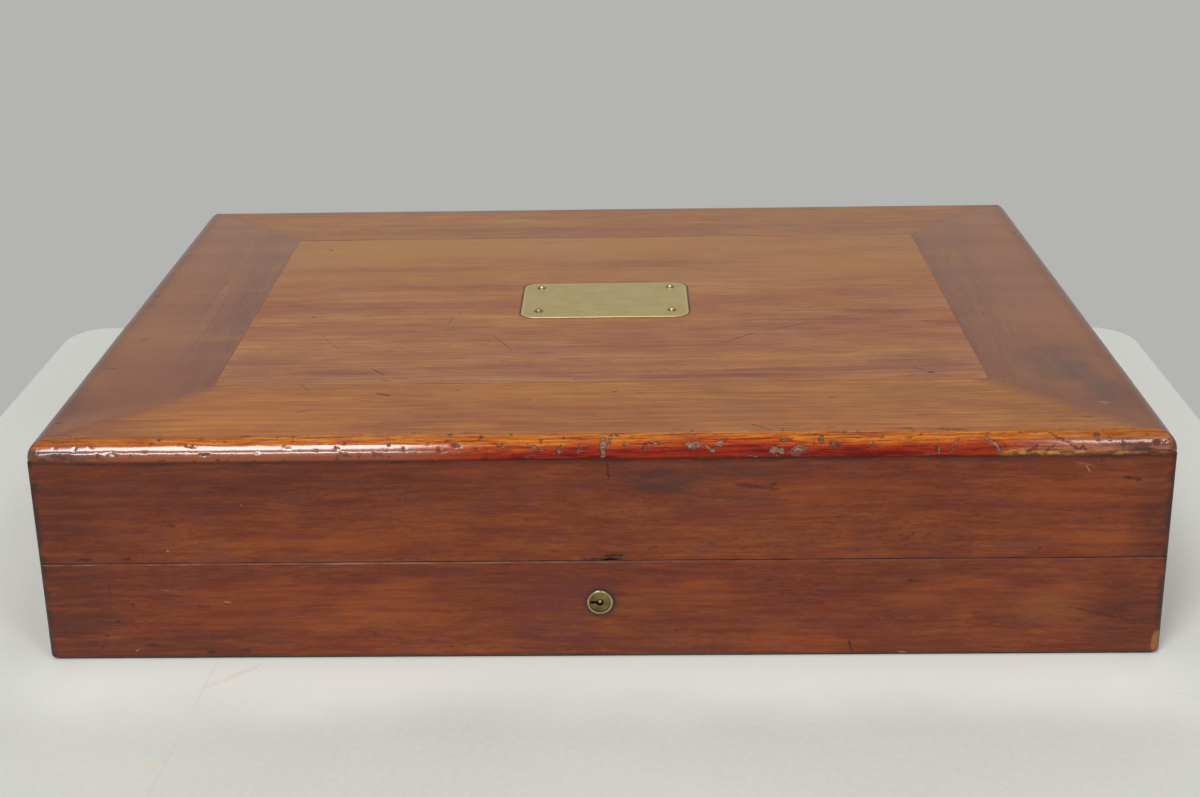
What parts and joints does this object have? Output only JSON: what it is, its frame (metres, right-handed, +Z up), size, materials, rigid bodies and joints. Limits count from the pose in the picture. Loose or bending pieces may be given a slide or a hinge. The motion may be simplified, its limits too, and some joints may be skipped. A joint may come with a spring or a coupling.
{
  "type": "silverware chest",
  "caption": "Shallow hinged wooden chest for silverware, with a deep moulded lid, a let-in brass plate, slotted baize racks and a brass box lock.",
  "frame": {"origin": "middle of the underside, on the surface that the chest stands on", "axes": "+X to the chest's right seen from its front, +Y from front to back, +Z up; the lid and the lock face -Y"},
  "size_m": [0.508, 0.386, 0.1098],
  "materials": {
    "wall_mahogany": "french-polished red-brown mahogany, worn satin gloss",
    "top_mahogany": "faded orange-brown mahogany top with long grain streaks and a glossy moulded edge",
    "bottom_wood": "bare planed secondary wood",
    "tongue_wood": "bare pale hardwood",
    "plate_brass": "dull, lightly tarnished brass",
    "aged_brass": "aged brass, darker in the corners",
    "steel": "dull spring steel",
    "baize": "dark green wool baize over wood",
    "lining_cloth": "dark green padded cloth"
  },
  "bodies": {
    "base": {"base_front_board": "wall_mahogany", "base_back_board": "wall_mahogany", "base_left_board": "wall_mahogany", "base_right_board": "wall_mahogany", "base_corner_tongues": "tongue_wood", "base_bottom_board": "bottom_wood", "underside_baize": "baize", "base_floor_baize": "baize", "base_wall_lining": "baize", "long_divider": "baize", "short_divider": "baize", "fork_handle_rack": "baize", "fork_tine_rest": "baize", "spoon_handle_rack": "baize", "spoon_bowl_rest": "baize", "lock_case": "aged_brass", "lock_cap": "aged_brass", "lock_cap_screws": "aged_brass", "lock_plate_screws": "aged_brass", "drill_pin": "steel", "nozzle_ring": "aged_brass", "bolt_spring": "steel", "hinge_base_leaf_left": "aged_brass", "hinge_base_leaf_right": "aged_brass", "hinge_pins": "steel", "hinge_base_screws": "aged_brass"},
    "key_curtain": {"key_curtain": "aged_brass"},
    "lock_bolt": {"lock_bolt": "aged_brass"},
    "lid": {"lid_front_board": "wall_mahogany", "lid_back_board": "wall_mahogany", "lid_left_board": "wall_mahogany", "lid_right_board": "wall_mahogany", "lid_corner_tongues": "tongue_wood", "top_front_rail": "top_mahogany", "top_back_rail": "top_mahogany", "top_left_rail": "top_mahogany", "top_right_rail": "top_mahogany", "top_corner_tongues": "tongue_wood", "top_panel": "top_mahogany", "name_plate": "plate_brass", "name_plate_pins": "plate_brass", "lid_lining_pad": "lining_cloth", "lid_wall_lining": "baize", "knife_handle_rack": "baize", "knife_blade_rack": "baize", "link_plate": "aged_brass", "link_plate_screws": "aged_brass", "hinge_lid_leaf_left": "aged_brass", "hinge_lid_leaf_right": "aged_brass", "hinge_lid_screws": "aged_brass"}
  },
  "joints": [
    {"name": "lid_hinge", "type": "hinge", "parent": "base", "child": "lid", "pos_m": [0, 0.1901, 0.049], "axis": [-1, 0, 0], "range_deg": [0, 95]},
    {"name": "key_turn", "type": "hinge", "parent": "base", "child": "key_curtain", "pos_m": [0, -0.1901, 0.0285], "axis": [0, 1, 0], "range_deg": [0, 180]},
    {"name": "bolt_slide", "type": "slide", "parent": "base", "child": "lock_bolt", "axis": [1, 0, 0], "range_m": [0, 0.0065]}
  ],
  "couplings": [
    {"joint": "bolt_slide", "follows": "key_turn", "m_per_rad": 0.002069}
  ]
}
